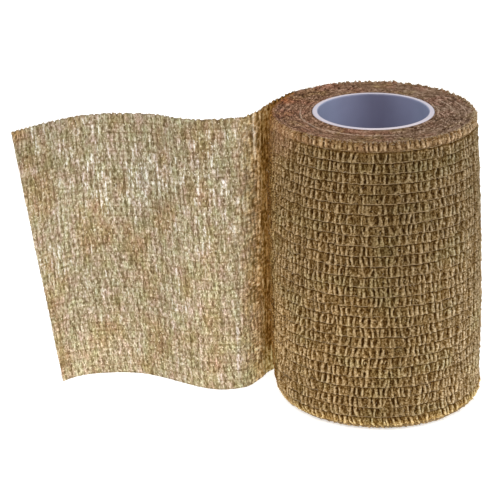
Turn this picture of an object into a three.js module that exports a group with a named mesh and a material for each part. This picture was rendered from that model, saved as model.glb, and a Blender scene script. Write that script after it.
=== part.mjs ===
// Cohesive bandage roll: a crinkled elastic strip wound on a white plastic core and stood on end,
// with its loose end drawn out to the left in two soft waves and cut off aslant.
// Millimetres, +Z up. The origin is the middle of the whole footprint, on the surface it stands on.
import * as THREE from 'three';

// Driving dimensions
const BANDAGE_WIDTH = 75;
const SHEET_THICKNESS = 1;
const CLEARANCE = 0.3;

// Core: a plain tube with rounded rims, a little proud of the wound edges
const CORE_RADIUS = 15;
const CORE_WALL = 1.4;
const CORE_PROUD = 0.4;
const CORE_RIM_ROUNDING = 0.35;
const CORE_SIDES = 48;
const CORE_RIM_STEPS = 1;

// Wound form: a soft barrel, drawn in at the top and turned under at the bottom
const ROLL_RADIUS = { bottom: 26.2, middle: 26.8, top: 25.5 };
const ROLL_RIM_ROUNDING = { bottom: 3.6, top: 0.35 };
const ROLL_CENTRE_X = { bottom: 1.3, top: -0.2 };
const BORE_RADIUS = CORE_RADIUS + CLEARANCE;
const DEPARTURE_ANGLE = THREE.MathUtils.degToRad(138);
const TURN_STEP = SHEET_THICKNESS + CLEARANCE;
const STEP_WIDTH_ANGLE = THREE.MathUtils.degToRad(2);
const ROLL_COLUMNS = 58;

// Elastic rows: the cloth swells between neighbouring threads and is held in at each of them. The rows
// along both edges are lower than the others, and the threads between lie a little high at mid height.
const ROW_COUNT = 29;
const TOP_ROW_HEIGHT = 1.95;
const BASE_ROW_HEIGHT = 1.9;
const THREAD_BOW = 0.65;
const ROW_SWELL = 0.4;
const ROW_WANDER = 0.45;

// Unevenness of hand winding: waves round the roll, their lean with height, phase and depth
const LUMPS = [
  { waves: 2, lean: 0.03, phase: 0.6, depth: 0.2 },
  { waves: 5, lean: -0.06, phase: 2.1, depth: 0.12 },
];

// Wound edges on the top face: how far out each ring lies, 0 at the bore and 1 at the rim
const TOP_FACE_RINGS = [
  { outward: 0.82, sink: 0.1 },
  { outward: 0.64, sink: 0.45 },
  { outward: 0.44, sink: 0.15 },
  { outward: 0.24, sink: 0.5 },
];

// Loose end: where its floor edge and top edge lie, from the roll to past the cut, and its height
const LOOSE_END_FOLDS = [
  { x: -25.6, floorY: 12.6, topY: 12.4, height: 74.7 },
  { x: -28.5, floorY: 8.3, topY: 7.0, height: 74.1 },
  { x: -32.0, floorY: 3.2, topY: 3.6, height: 73.5 },
  { x: -38.0, floorY: 0.8, topY: 2.4, height: 73.2 },
  { x: -43.2, floorY: 2.1, topY: 1.7, height: 73.2 },
  { x: -49.0, floorY: 5.6, topY: 3.6, height: 73.2 },
  { x: -54.0, floorY: 8.8, topY: 6.4, height: 73.2 },
  { x: -59.5, floorY: 11.4, topY: 7.5, height: 73.2 },
  { x: -67.5, floorY: 12.2, topY: 7.7, height: 73.2 },
  { x: -76.6, floorY: 10.4, topY: 2.8, height: 73.4 },
  { x: -88.4, floorY: 1.9, topY: -8.0, height: 73.6 },
];
const CUT_X = { floor: -80.0, top: -87.9 };
const DEPARTURE_SETBACK = 1.9;
const CUT_SEARCH_STEPS = 400;
const LOOSE_END_STATIONS = 46;
const LOOSE_END_LEVELS = 9;

const clothMaterial = new THREE.MeshStandardMaterial({ color: 0x8a7149, roughness: 0.95 });
const sheerClothMaterial = new THREE.MeshStandardMaterial({ color: 0xb3a184, roughness: 0.9 });
const plasticMaterial = new THREE.MeshStandardMaterial({ color: 0xe4e4ee, roughness: 0.4 });

function indexedGeometry(points, triangles) {
  const geometry = new THREE.BufferGeometry();
  geometry.setFromPoints(points);
  geometry.setIndex(triangles);
  geometry.computeVertexNormals();
  return geometry;
}

function addQuad(triangles, a, b, c, d) {
  triangles.push(a, b, c, a, c, d);
}

function coreTube() {
  const inner = CORE_RADIUS - CORE_WALL;
  const height = BANDAGE_WIDTH + CORE_PROUD;
  const round = CORE_RIM_ROUNDING;
  const outline = new THREE.Shape();
  outline.moveTo(inner + round, 0);
  outline.lineTo(CORE_RADIUS - round, 0);
  outline.absarc(CORE_RADIUS - round, round, round, -Math.PI / 2, 0, false);
  outline.absarc(CORE_RADIUS - round, height - round, round, 0, Math.PI / 2, false);
  outline.absarc(inner + round, height - round, round, Math.PI / 2, Math.PI, false);
  outline.absarc(inner + round, round, round, Math.PI, Math.PI * 1.5, false);
  const profile = outline.getPoints(CORE_RIM_STEPS);
  const distinct = profile.filter((point, i) => i === 0 || point.distanceTo(profile[i - 1]) > 0.01);
  if (distinct.at(-1).distanceTo(distinct[0]) > 0.01) {
    distinct.push(distinct[0]);
  }
  const geometry = new THREE.LatheGeometry(distinct, CORE_SIDES);
  geometry.rotateX(Math.PI / 2);
  const mesh = new THREE.Mesh(geometry, plasticMaterial);
  mesh.name = 'core_tube';
  return mesh;
}

// How far the rounded rims draw the side in at a given height
function rimInset(z) {
  const { bottom, top } = ROLL_RIM_ROUNDING;
  const fromTop = BANDAGE_WIDTH - z;
  if (z < bottom) {
    return bottom - Math.sqrt(bottom * bottom - (bottom - z) ** 2);
  }
  if (fromTop < top) {
    return top - Math.sqrt(top * top - (top - fromTop) ** 2);
  }
  return 0;
}

function barrelRadius(z) {
  const t = z / BANDAGE_WIDTH;
  const straight = THREE.MathUtils.lerp(ROLL_RADIUS.bottom, ROLL_RADIUS.top, t);
  const bulge = ROLL_RADIUS.middle - (ROLL_RADIUS.bottom + ROLL_RADIUS.top) / 2;
  return straight + 4 * t * (1 - t) * bulge;
}

function lumpDepth(angle, z) {
  return LUMPS.reduce((sum, lump) => {
    return sum + lump.depth * Math.sin(lump.waves * angle + lump.lean * z + lump.phase);
  }, 0);
}

function rollCentreX(z) {
  return THREE.MathUtils.lerp(ROLL_CENTRE_X.bottom, ROLL_CENTRE_X.top, z / BANDAGE_WIDTH);
}

// Height of an elastic thread, counted from 0 at the base edge to ROW_COUNT at the top edge
function threadHeight(line) {
  if (line === 0) {
    return 0;
  }
  if (line === ROW_COUNT) {
    return BANDAGE_WIDTH;
  }
  const share = (line - 1) / (ROW_COUNT - 2);
  const level = THREE.MathUtils.lerp(BASE_ROW_HEIGHT, BANDAGE_WIDTH - TOP_ROW_HEIGHT, share);
  return level + THREAD_BOW * Math.sin(Math.PI * share);
}

// A column is one upright line of the roll: its angle, and how much of the last turn lies under it
function rollColumns() {
  return Array.from({ length: ROLL_COLUMNS + 1 }, (_, i) => {
    const wound = i / ROLL_COLUMNS;
    const sweep = STEP_WIDTH_ANGLE + (Math.PI * 2 - STEP_WIDTH_ANGLE) * wound;
    return { angle: DEPARTURE_ANGLE + sweep, turnGain: TURN_STEP * (wound - 0.5) };
  });
}

function sideRadius(column, z, swell) {
  return barrelRadius(z) - rimInset(z) + column.turnGain + lumpDepth(column.angle, z) + swell;
}

function sideRing(columns, z, swell) {
  const middleWeight = Math.sin(Math.PI * z / BANDAGE_WIDTH);
  return columns.map((column) => {
    const wander = ROW_WANDER * middleWeight * Math.sin(2 * column.angle + z / 9);
    const radius = sideRadius(column, z, swell);
    return new THREE.Vector3(
      rollCentreX(z) + radius * Math.cos(column.angle),
      radius * Math.sin(column.angle),
      z + wander,
    );
  });
}

// A ring on an end face, between the round bore and the spiral rim
function faceRing(columns, outward, edgeZ, z) {
  return columns.map((column) => {
    const edge = sideRadius(column, edgeZ, 0);
    const radius = THREE.MathUtils.lerp(BORE_RADIUS, edge, outward);
    return new THREE.Vector3(
      rollCentreX(edgeZ) * outward + radius * Math.cos(column.angle),
      radius * Math.sin(column.angle),
      z,
    );
  });
}

// Rings in order form a closed band: round the bore, over one end, along the side and back
function closedRingBody(rings) {
  const columnCount = rings[0].length;
  const triangles = [];
  rings.forEach((ring, r) => {
    const next = (r + 1) % rings.length;
    ring.forEach((_, c) => {
      const nextColumn = (c + 1) % columnCount;
      addQuad(
        triangles,
        r * columnCount + c,
        r * columnCount + nextColumn,
        next * columnCount + nextColumn,
        next * columnCount + c,
      );
    });
  });
  return indexedGeometry(rings.flat(), triangles);
}

function woundRoll() {
  const columns = rollColumns();
  const rings = [faceRing(columns, 0, 0, 0)];
  rings.push(sideRing(columns, 0, 0));
  for (let row = 0; row < ROW_COUNT; row += 1) {
    const crestZ = (threadHeight(row) + threadHeight(row + 1)) / 2;
    rings.push(sideRing(columns, crestZ, ROW_SWELL / 2));
    if (row < ROW_COUNT - 1) {
      rings.push(sideRing(columns, threadHeight(row + 1), -ROW_SWELL / 2));
    }
  }
  rings.push(sideRing(columns, BANDAGE_WIDTH, 0));
  TOP_FACE_RINGS.forEach(({ outward, sink }) => {
    rings.push(faceRing(columns, outward, BANDAGE_WIDTH, BANDAGE_WIDTH - sink));
  });
  rings.push(faceRing(columns, 0, BANDAGE_WIDTH, BANDAGE_WIDTH));
  const mesh = new THREE.Mesh(closedRingBody(rings), clothMaterial);
  mesh.name = 'wound_roll';
  return mesh;
}

// The loose end leaves the roll along its tangent, one clearance off the turn beneath
function departurePoint(z) {
  const angle = DEPARTURE_ANGLE + STEP_WIDTH_ANGLE * DEPARTURE_SETBACK;
  const turnBeneath = sideRadius({ angle, turnGain: -TURN_STEP / 2 }, z, ROW_SWELL / 2);
  const radius = turnBeneath + CLEARANCE + SHEET_THICKNESS / 2;
  return new THREE.Vector3(rollCentreX(z) + radius * Math.cos(angle), radius * Math.sin(angle), z);
}

// The middle of the sheet at one level, 0 along its floor edge and 1 along its top edge
function levelCurve(level) {
  const { bottom, top } = ROLL_RIM_ROUNDING;
  const clearOfRimsZ = THREE.MathUtils.lerp(bottom, BANDAGE_WIDTH - top, level);
  const start = departurePoint(clearOfRimsZ).setZ(BANDAGE_WIDTH * level);
  const folds = LOOSE_END_FOLDS.map(({ x, floorY, topY, height }) => {
    return new THREE.Vector3(x, THREE.MathUtils.lerp(floorY, topY, level), height * level);
  });
  return new THREE.CatmullRomCurve3([start, ...folds], false, 'centripetal');
}

// The share of a curve's length at which it reaches the line of the cut
function cutShare(curve, level) {
  const cutX = THREE.MathUtils.lerp(CUT_X.floor, CUT_X.top, level);
  const shares = Array.from({ length: CUT_SEARCH_STEPS + 1 }, (_, i) => i / CUT_SEARCH_STEPS);
  return shares.find((share) => curve.getPointAt(share).x <= cutX);
}

// One run of points on each face of the sheet, from the roll to the cut
function levelRun(level) {
  const curve = levelCurve(level);
  const length = cutShare(curve, level);
  const up = new THREE.Vector3(0, 0, 1);
  const stations = Array.from({ length: LOOSE_END_STATIONS }, (_, i) => {
    return length * i / (LOOSE_END_STATIONS - 1);
  });
  return stations.map((share) => {
    const middle = curve.getPointAt(share);
    const side = curve.getTangentAt(share).cross(up).normalize();
    return {
      front: middle.clone().addScaledVector(side, SHEET_THICKNESS / 2),
      back: middle.clone().addScaledVector(side, -SHEET_THICKNESS / 2),
    };
  });
}

function looseEnd() {
  const runs = Array.from({ length: LOOSE_END_LEVELS }, (_, i) => {
    return levelRun(i / (LOOSE_END_LEVELS - 1));
  });
  const sections = runs[0].map((_, station) => {
    const front = runs.map((run) => run[station].front);
    const back = runs.map((run) => run[station].back);
    return [...front, ...back.reverse()];
  });
  const mesh = new THREE.Mesh(cappedLoft(sections), sheerClothMaterial);
  mesh.name = 'loose_end';
  return mesh;
}

// Each section runs up one face of a sheet and down the other, and the two ends are closed
function cappedLoft(sections) {
  const count = sections[0].length;
  const triangles = [];
  for (let s = 0; s < sections.length - 1; s += 1) {
    for (let i = 0; i < count; i += 1) {
      const next = (i + 1) % count;
      addQuad(
        triangles,
        s * count + i,
        (s + 1) * count + i,
        (s + 1) * count + next,
        s * count + next,
      );
    }
  }
  const last = (sections.length - 1) * count;
  for (let i = 0; i < count / 2 - 1; i += 1) {
    const opposite = count - 1 - i;
    addQuad(triangles, i, i + 1, opposite - 1, opposite);
    addQuad(triangles, last + i, last + opposite, last + opposite - 1, last + i + 1);
  }
  return indexedGeometry(sections.flat(), triangles);
}

const bandage = new THREE.Group();
bandage.add(woundRoll(), coreTube(), looseEnd());
const footprint = new THREE.Box3().setFromObject(bandage);
const middle = footprint.getCenter(new THREE.Vector3());
bandage.position.set(-middle.x, -middle.y, -footprint.min.z);

export default bandage;
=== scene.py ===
# Cohesive bandage roll, standing on end with its loose end drawn out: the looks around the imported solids.
# Shapes are worked out in millimetres in the part's own frame and turned into metres when meshes are made.
import math

import bpy
import numpy as np
from mathutils import Matrix, Vector


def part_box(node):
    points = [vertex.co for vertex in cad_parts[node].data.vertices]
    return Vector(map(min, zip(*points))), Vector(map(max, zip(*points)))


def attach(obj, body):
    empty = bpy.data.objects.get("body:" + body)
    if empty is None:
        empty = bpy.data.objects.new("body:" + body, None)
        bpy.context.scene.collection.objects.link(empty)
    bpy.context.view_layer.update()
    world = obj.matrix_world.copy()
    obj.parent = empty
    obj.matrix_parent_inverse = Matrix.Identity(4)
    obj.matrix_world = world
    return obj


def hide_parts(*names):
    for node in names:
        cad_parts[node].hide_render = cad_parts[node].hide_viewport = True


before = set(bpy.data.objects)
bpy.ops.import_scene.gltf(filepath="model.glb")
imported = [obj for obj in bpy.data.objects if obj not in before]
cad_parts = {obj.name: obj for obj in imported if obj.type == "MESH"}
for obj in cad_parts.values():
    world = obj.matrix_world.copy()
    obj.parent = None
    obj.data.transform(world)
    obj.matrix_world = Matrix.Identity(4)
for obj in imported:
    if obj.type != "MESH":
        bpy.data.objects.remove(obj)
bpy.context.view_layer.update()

MM = 0.001
COLOURS = ("red", "green", "blue")
TAU = 2 * math.pi
SEED = 20

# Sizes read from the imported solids, in millimetres
core_low, core_high = (np.array(corner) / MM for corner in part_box("core_tube"))
AXIS_X, AXIS_Y = (core_low[:2] + core_high[:2]) / 2
CORE_RADIUS = (core_high[0] - core_low[0]) / 2
CORE_HEIGHT = core_high[2]
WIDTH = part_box("wound_roll")[1][2] / MM

# Sizes that the solids share, in millimetres
CORE_WALL = 1.4
CORE_RIM_ROUNDING = 0.35
ROLL_RADIUS = {"bottom": 26.2, "middle": 26.8, "top": 25.5}
RIM_ROUNDING = {"bottom": 3.6, "top": 0.35}
ROLL_CENTRE_X = {"bottom": 1.3, "top": -0.2}
DEPARTURE_ANGLE = math.radians(138)
STEP_WIDTH_ANGLE = math.radians(2)
ROW_COUNT = 29
TOP_ROW_HEIGHT = 1.95
BASE_ROW_HEIGHT = 1.9
THREAD_BOW = 0.65
LUMPS = [
    {"waves": 2, "lean": 0.03, "phase": 0.6, "depth": 0.2},
    {"waves": 5, "lean": -0.06, "phase": 2.1, "depth": 0.12},
]

# The turns of cloth
TURN_THICKNESS = 0.6
TURN_COUNT = 16
BASE_LIFT = 0.3
BASE_SHIFT = 0.9
BORE_RADIUS = CORE_RADIUS + 0.05

# The crinkles: upright folds between neighbouring elastic threads. Slim and stout are the folds' half
# widths, spread is how uneven their spacing is, lean and wander are how far a fold leans within a row and
# strays from one row to the next, and renewal is the share by which each row forgets the one below.
SIDE_FOLDS = {
    "pitch": 1.43, "slim": 0.26, "stout": 0.46, "spread": 0.26, "lean": 0.2, "wander": 0.2, "renewal": 0.16,
}
TOP_ROW_FOLDS = {
    "pitch": 1.3, "slim": 0.4, "stout": 0.52, "spread": 0.3, "lean": 0.08, "wander": 0.3, "renewal": 0.3,
}
LOOSE_END_CRINKLE = {
    "pitch": 1.4, "slim": 0.34, "stout": 0.58, "spread": 0.27, "lean": 0.1, "wander": 0.12, "renewal": 0.12,
}
FOLD_DEPTH = 0.85
GROUND_HEIGHT = 0.36
HALF_ROW = 1.3
WARP = {"cell": 0.8, "along": 0.13, "across": 0.2}
SIDE_COLUMNS = 1160
SIDE_PIECES = 3

# The elastic threads
THREAD_RADIUS = 0.1
THREAD_STEPS = 320
THREAD_SIDES = 3
THREAD_SMOOTHING = 4

# Painted light and shade on the side, by height in millimetres: its cloth is painted darker towards its top,
# lighter near the floor and again at the top rim
SIDE_PAINTED_LIGHT_BY_HEIGHT = {"height": [4, 20, 35, 50, 60, 72, 74], "share": [0.9, 0.87, 0.77, 0.69, 0.585, 0.56, 0.92]}

# Shares of the last turn over which its cloth passes from felted to crinkled, by height in millimetres
FELTED = {"height": [0, 25, 50, 66, 75], "up_to": [0.04, 0.06, 0.1, 0.15, 0.17]}
PASSAGE = 0.08

# Painted light and shade round the roll, by share of the last turn: dark in the crease where the loose end
# leaves the roll, lighter on the roll's flanks, a little darker at its front
PAINTED_LIGHT_ROUND_TURN = {
    "share": [0.06, 0.11, 0.14, 0.155, 0.17, 0.28, 0.38, 0.5, 0.8],
    "red": [0.5, 0.52, 0.74, 1.08, 1.34, 1.21, 0.91, 1.24, 1.1],
    "green": [0.32, 0.34, 0.56, 1.0, 1.3, 1.17, 0.89, 1.29, 1.1],
    "blue": [0.12, 0.15, 0.31, 0.83, 1.27, 1.13, 0.83, 1.43, 1.1],
}

# Painted light round the base, by height in millimetres: the cloth is painted lighter and paler where its
# rounded foot turns down, away from the light
BASE_PAINTED_LIGHT = {
    "height": [0.4, 1.4, 2.4, 3.4, 4.6],
    "red": [1.35, 1.95, 1.85, 1.3, 1.0],
    "green": [1.6, 2.1, 1.88, 1.3, 1.0],
    "blue": [2.3, 2.4, 1.7, 1.2, 1.0],
}

# The even painted light used round the turn next to the floor, in place of the painted light round the roll
BASE_EVEN_PAINTED_LIGHT = 1.12

# Layers of noise, each with its strength, its cells round the roll and up it, and its seed: how the threads
# wander in millimetres, how deep they sink between the rows, and how the brightness of the cloth varies
THREAD_WANDER = [
    {"strength": 0.15, "cells": (7, 9), "seed": 5},
    {"strength": 0.07, "cells": (24, ROW_COUNT), "seed": 6},
    {"strength": 0.1, "cells": (80, ROW_COUNT), "seed": 7},
    {"strength": 0.12, "cells": (190, ROW_COUNT), "seed": 8},
]
SUNK_THREADS = [
    {"strength": 0.35, "cells": (26, ROW_COUNT), "seed": 51},
    {"strength": 0.6, "cells": (120, ROW_COUNT), "seed": 54},
]
SIDE_TONES = [
    {"strength": 0.4, "cells": (18, 9), "seed": 53},
    {"strength": 0.35, "cells": (150, ROW_COUNT * 2), "seed": 52},
]
LOOSE_END_CLOUDS = [
    {"strength": 0.55, "cells": (9, 4), "seed": 46},
    {"strength": 0.3, "cells": (30, 9), "seed": 47},
]

# Places up one row as shares of its height, and how deep the groove under the next thread is there
ROW_LEVELS = [
    {"share": 0.0, "groove": 0.1},
    {"share": 0.08, "groove": 0.0},
    {"share": 0.2, "groove": 0.0},
    {"share": 0.34, "groove": 0.0},
    {"share": 0.5, "groove": 0.0},
    {"share": 0.66, "groove": 0.0},
    {"share": 0.81, "groove": 0.08},
    {"share": 0.93, "groove": 0.75},
]

# Turns whose edge shows as a thin pale line on the top face
PALE_ARCS = [
    {"radius": 15.9, "from": -14, "to": 14, "strength": 1.0},
    {"radius": 17.9, "from": 162, "to": 292, "strength": 1.0},
    {"radius": 19.8, "from": 0, "to": 34, "strength": 1.2},
    {"radius": 20.4, "from": 196, "to": 232, "strength": 0.35},
    {"radius": 22.6, "from": 2, "to": 22, "strength": 1.3},
]

# A rusty patch on the top face, next to the place where the loose end leaves
RUST_PLACE = (AXIS_X - 22.0, AXIS_Y + 10.4, WIDTH)

# The loose end: where its floor and top edges lie, in millimetres from the roll's axis
LOOSE_END_FOLDS = [
    {"x": -25.6, "floor_y": 12.2, "top_y": 10.9, "height": 74.0},
    {"x": -28.5, "floor_y": 7.1, "top_y": 6.2, "height": 73.5},
    {"x": -32.0, "floor_y": 2.4, "top_y": 2.9, "height": 73.3},
    {"x": -38.0, "floor_y": 0.8, "top_y": 2.0, "height": 73.1},
    {"x": -43.2, "floor_y": 2.1, "top_y": 1.7, "height": 73.1},
    {"x": -49.0, "floor_y": 5.6, "top_y": 3.6, "height": 73.1},
    {"x": -54.0, "floor_y": 8.8, "top_y": 6.4, "height": 73.1},
    {"x": -59.5, "floor_y": 11.4, "top_y": 7.5, "height": 73.1},
    {"x": -67.5, "floor_y": 12.2, "top_y": 7.7, "height": 73.1},
    {"x": -76.6, "floor_y": 10.0, "top_y": 2.8, "height": 73.4},
    {"x": -88.4, "floor_y": -3.0, "top_y": -8.0, "height": 73.6},
]
CUT_X = {"floor": -80.0, "top": -87.9}

# The sheet of the loose end: its grid, its thickness and length, and its tints
LOOSE_STATIONS = 400
LOOSE_LEVEL_SHARES = [0.0, 0.2, 0.5, 0.8]
LOOSE_HALF_THICKNESS = 0.12
LOOSE_STRIP_LENGTH = 96.0
ROOT_LENGTH = 24.0
CORNER_STAIN = (0.95, 0.68, 0.45)
LOW_CORNER = (0.76, 0.84, 0.78)
LOW_EDGE = (0.87, 0.94, 0.9)

# Painted shade and light on the bunched cloth next to the roll, by distance along the loose end in
# millimetres: dark in the crease by the roll, lighter just past it
ROOT_PAINTED_SHADE_AND_LIGHT = {
    "along": [10, 12, 14.2, 16, 17.7, 19.2, 20.5, 22, 23.5, 26],
    "red": [0.5, 0.52, 0.62, 1.1, 1.1, 1.18, 1.08, 1.12, 1.02, 1.0],
    "green": [0.36, 0.38, 0.49, 0.98, 1.02, 1.14, 1.05, 1.1, 1.0, 1.0],
    "blue": [0.2, 0.22, 0.3, 0.88, 0.98, 1.06, 1.0, 1.08, 0.98, 1.0],
}

# Places where the loose end is thin and pale, in millimetres along it and up it
PALE_PLACES = [
    {"along": 52.0, "height": 53.0, "width": 8.0, "reach": 8.0, "strength": 0.5},
    {"along": 61.5, "height": 26.0, "width": 7.0, "reach": 9.0, "strength": 0.6},
    {"along": 33.5, "height": 58.0, "width": 0.9, "reach": 7.0, "strength": 1.2},
    {"along": 24.6, "height": 12.0, "width": 0.5, "reach": 12.0, "strength": 1.6},
    {"along": 48.4, "height": 56.0, "width": 1.2, "reach": 5.0, "strength": 0.9},
]
STREAK_WIDTH = 1.3
STREAK_LIFT = (0.12, 0.2, 0.4)
# Painted light and shade on the loose end, by height in millimetres: lighter towards the floor, darker
# towards its top
LOOSE_PAINTED_LIGHT_BY_HEIGHT = {"height": [0, 12, 30, 45, 60, 74], "share": [1.1, 1.06, 1.04, 1.0, 0.92, 0.84]}

# The camera: the photograph's view, fitted to the roll's outline
CAMERA_DISTANCE = 500.0
CAMERA_ELEVATION = math.radians(21.67)
CAMERA_ROLL = math.radians(-0.8)
CAMERA_TARGET = (AXIS_X - 30.66, AXIS_Y, 39.1)
FOCAL_PIXELS = 1988.3
PHOTO_PIXELS = 500
SENSOR_MM = 36.0


def set_camera():
    data = bpy.data.cameras.new("camera")
    data.sensor_width = SENSOR_MM
    data.lens = FOCAL_PIXELS / PHOTO_PIXELS * SENSOR_MM
    data.clip_start = 0.01
    data.clip_end = 10
    camera = bpy.data.objects.new("camera", data)
    back = Vector((0, -math.cos(CAMERA_ELEVATION), math.sin(CAMERA_ELEVATION)))
    place = (Vector(CAMERA_TARGET) + back * CAMERA_DISTANCE) * MM
    turn = back.to_track_quat("Z", "Y").to_matrix().to_4x4() @ Matrix.Rotation(CAMERA_ROLL, 4, "Z")
    camera.matrix_world = Matrix.Translation(place) @ turn
    bpy.context.scene.collection.objects.link(camera)
    bpy.context.scene.camera = camera


# Noise and interpolation


def smooth_noise(across, along, cells_across, cells_along, seed):
    """Smooth noise from -1 to 1 at places given as shares; it repeats after a share of 1 across."""
    rng = np.random.default_rng(SEED + seed)
    lattice = rng.uniform(-1, 1, (cells_along + 2, cells_across))
    x = np.asarray(across) * cells_across
    y = np.clip(np.asarray(along), 0, 1) * cells_along
    x0, y0 = np.floor(x).astype(int), np.floor(y).astype(int)
    fx, fy = x - x0, y - y0
    fx, fy = fx * fx * (3 - 2 * fx), fy * fy * (3 - 2 * fy)
    left, right = x0 % cells_across, (x0 + 1) % cells_across
    low = lattice[y0, left] * (1 - fx) + lattice[y0, right] * fx
    high = lattice[y0 + 1, left] * (1 - fx) + lattice[y0 + 1, right] * fx
    return low * (1 - fy) + high * fy


def noise_sum(layers, across, along):
    """Sum of layers of smooth noise, each with its strength, cells and seed."""
    return sum(m["strength"] * smooth_noise(across, along, *m["cells"], m["seed"]) for m in layers)


def lerp(a, b, t):
    return a + (b - a) * t


def smoothstep(low, high, value):
    t = np.clip((value - low) / (high - low), 0, 1)
    return t * t * (3 - 2 * t)


def tint_at(table, column, places):
    """The red, green and blue of a table at places along one of its columns."""
    return np.stack([np.interp(places, table[column], table[colour]) for colour in COLOURS], -1)


# Meshes


def make_mesh(name, points, faces, values=None, material=None, smooth=True):
    """A mesh object from points in millimetres; values holds one number a point, or a triple, by name."""
    mesh = bpy.data.meshes.new(name)
    corner_count = faces.shape[1]
    mesh.vertices.add(len(points))
    mesh.vertices.foreach_set("co", (points * MM).astype(np.float32).ravel())
    mesh.loops.add(faces.size)
    mesh.loops.foreach_set("vertex_index", faces.astype(np.int32).ravel())
    mesh.polygons.add(len(faces))
    starts = np.arange(0, faces.size, corner_count, dtype=np.int32)
    mesh.polygons.foreach_set("loop_start", starts)
    mesh.polygons.foreach_set("use_smooth", np.full(len(faces), smooth))
    mesh.update(calc_edges=True)
    for label, array in (values or {}).items():
        vector = array.ndim == 2
        attribute = mesh.attributes.new(label, "FLOAT_VECTOR" if vector else "FLOAT", "POINT")
        attribute.data.foreach_set("vector" if vector else "value", array.astype(np.float32).ravel())
    piece = bpy.data.objects.new(name, mesh)
    bpy.context.scene.collection.objects.link(piece)
    if material:
        mesh.materials.append(material)
    return piece


def ring_faces(ring_count, column_count, wrap_rings=True):
    """Quads of a stack of closed rings; with wrap_rings the last ring joins the first."""
    rings = np.arange(ring_count if wrap_rings else ring_count - 1)
    r, c = np.meshgrid(rings, np.arange(column_count), indexing="ij")
    r_next, c_next = (r + 1) % ring_count, (c + 1) % column_count
    corners = [(r, c), (r, c_next), (r_next, c_next), (r_next, c)]
    return np.stack([a * column_count + b for a, b in corners], -1).reshape(-1, 4)


# The wound form


def barrel_radius(z):
    t = z / WIDTH
    straight = lerp(ROLL_RADIUS["bottom"], ROLL_RADIUS["top"], t)
    bulge = ROLL_RADIUS["middle"] - (ROLL_RADIUS["bottom"] + ROLL_RADIUS["top"]) / 2
    return straight + 4 * t * (1 - t) * bulge


def rim_inset(z):
    bottom, top = RIM_ROUNDING["bottom"], RIM_ROUNDING["top"]
    low = np.clip(bottom - z, 0, bottom)
    high = np.clip(top - (WIDTH - z), 0, top)
    return (bottom - np.sqrt(bottom**2 - low**2)) + (top - np.sqrt(top**2 - high**2))


def lump_depth(angle, z):
    return sum(m["depth"] * np.sin(m["waves"] * angle + m["lean"] * z + m["phase"]) for m in LUMPS)


def centre_x(z):
    return lerp(ROLL_CENTRE_X["bottom"], ROLL_CENTRE_X["top"], z / WIDTH) + BASE_SHIFT * smoothstep(6.5, 0, z)


def last_turn(count):
    """Shares of the last turn from its step round to its step, their angles and shares of the circle."""
    wound = np.arange(count) / (count - 1)
    angle = DEPARTURE_ANGLE + STEP_WIDTH_ANGLE + (TAU - STEP_WIDTH_ANGLE) * wound
    return wound, angle, angle / TAU % 1


def envelope_radius(angle, wound, z):
    """Radius of the crests of the folds; wound runs from 0 to 1 along the last turn."""
    gain = TURN_THICKNESS * (wound - 0.5)
    return barrel_radius(z) - rim_inset(z) + gain + lump_depth(angle, z)


def on_roll(radius, angle, z, shift):
    """Points at a radius and angle round the roll's axis, shift being the centre's own X."""
    return np.stack([AXIS_X + shift + radius * np.cos(angle), AXIS_Y + radius * np.sin(angle), z], -1)


# Crinkled folds


def fold_table(length, folds, rows, seed):
    """For each row the places of its folds, drifting from row to row."""
    rng = np.random.default_rng(SEED + seed)
    count = round(length / folds["pitch"])

    def fresh_places():
        gaps = np.clip(rng.normal(1, folds["spread"], count), 0.45, 1.9)
        return np.cumsum(gaps) / gaps.sum() * length

    places = fresh_places()
    table = []
    for _ in range(rows):
        offset = (fresh_places() - places + length / 2) % length - length / 2
        places = (places + offset * folds["renewal"] + rng.normal(0, folds["wander"], count)) % length
        places.sort()
        table.append(places)
    return table


def fold_shape(rng, folds):
    """An upright fold: its half width, its flare at foot and head, its rise, lean and bend."""
    weak = rng.random() < 0.18
    return {
        "width": rng.uniform(folds["slim"], folds["stout"]),
        "foot": rng.uniform(0.0, 0.8),
        "head": rng.uniform(0.0, 0.6),
        "rise": rng.uniform(0.12, 0.3) if weak else rng.uniform(0.4, 0.62),
        "lean": rng.normal(0, folds["lean"]),
        "bend": rng.normal(0, folds["lean"]),
    }


def raise_fold(height, distance, across, shape):
    """Raises one fold in a patch of heights; across runs from -1 at the row's foot to 1 at its top."""
    distance = distance - shape["lean"] * across - shape["bend"] * (across**2 - 0.5)
    flare = shape["foot"] * smoothstep(0.1, -1.0, across) + shape["head"] * smoothstep(0.3, 1.0, across)
    profile = np.sqrt(np.clip(1 - (distance / (shape["width"] * (1 + flare))) ** 2, 0, 1))
    crest = shape["rise"] * (1 - 0.1 * smoothstep(0.2, 1.0, across))
    np.maximum(height, GROUND_HEIGHT + crest * profile, out=height, where=profile > 0)


def hollow_shape(rng):
    """A dark hollow beside a fold."""
    return {
        "width": rng.uniform(0.16, 0.34),
        "depth": rng.uniform(0.16, 0.54),
        "lean": rng.normal(0, 0.2),
        "centre": rng.normal(0.05, 0.3),
        "reach": rng.uniform(0.5, 1.05),
    }


def sink_hollow(height, distance, across, shape):
    """Lowers a patch of heights along a hollow."""
    distance = distance - shape["lean"] * across
    reach = smoothstep(1.0, 0.35, np.abs(across - shape["centre"]) / shape["reach"])
    height -= shape["depth"] * np.exp(-((distance / shape["width"]) ** 2)) * reach


def wrinkle_shape(rng):
    """A small wrinkle between folds."""
    return {
        "width": rng.uniform(0.1, 0.2),
        "depth": -rng.uniform(0.12, 0.4),
        "lean": rng.normal(0, 0.35),
        "centre": rng.normal(-0.1, 0.4),
        "reach": rng.uniform(0.3, 0.8),
    }


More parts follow.
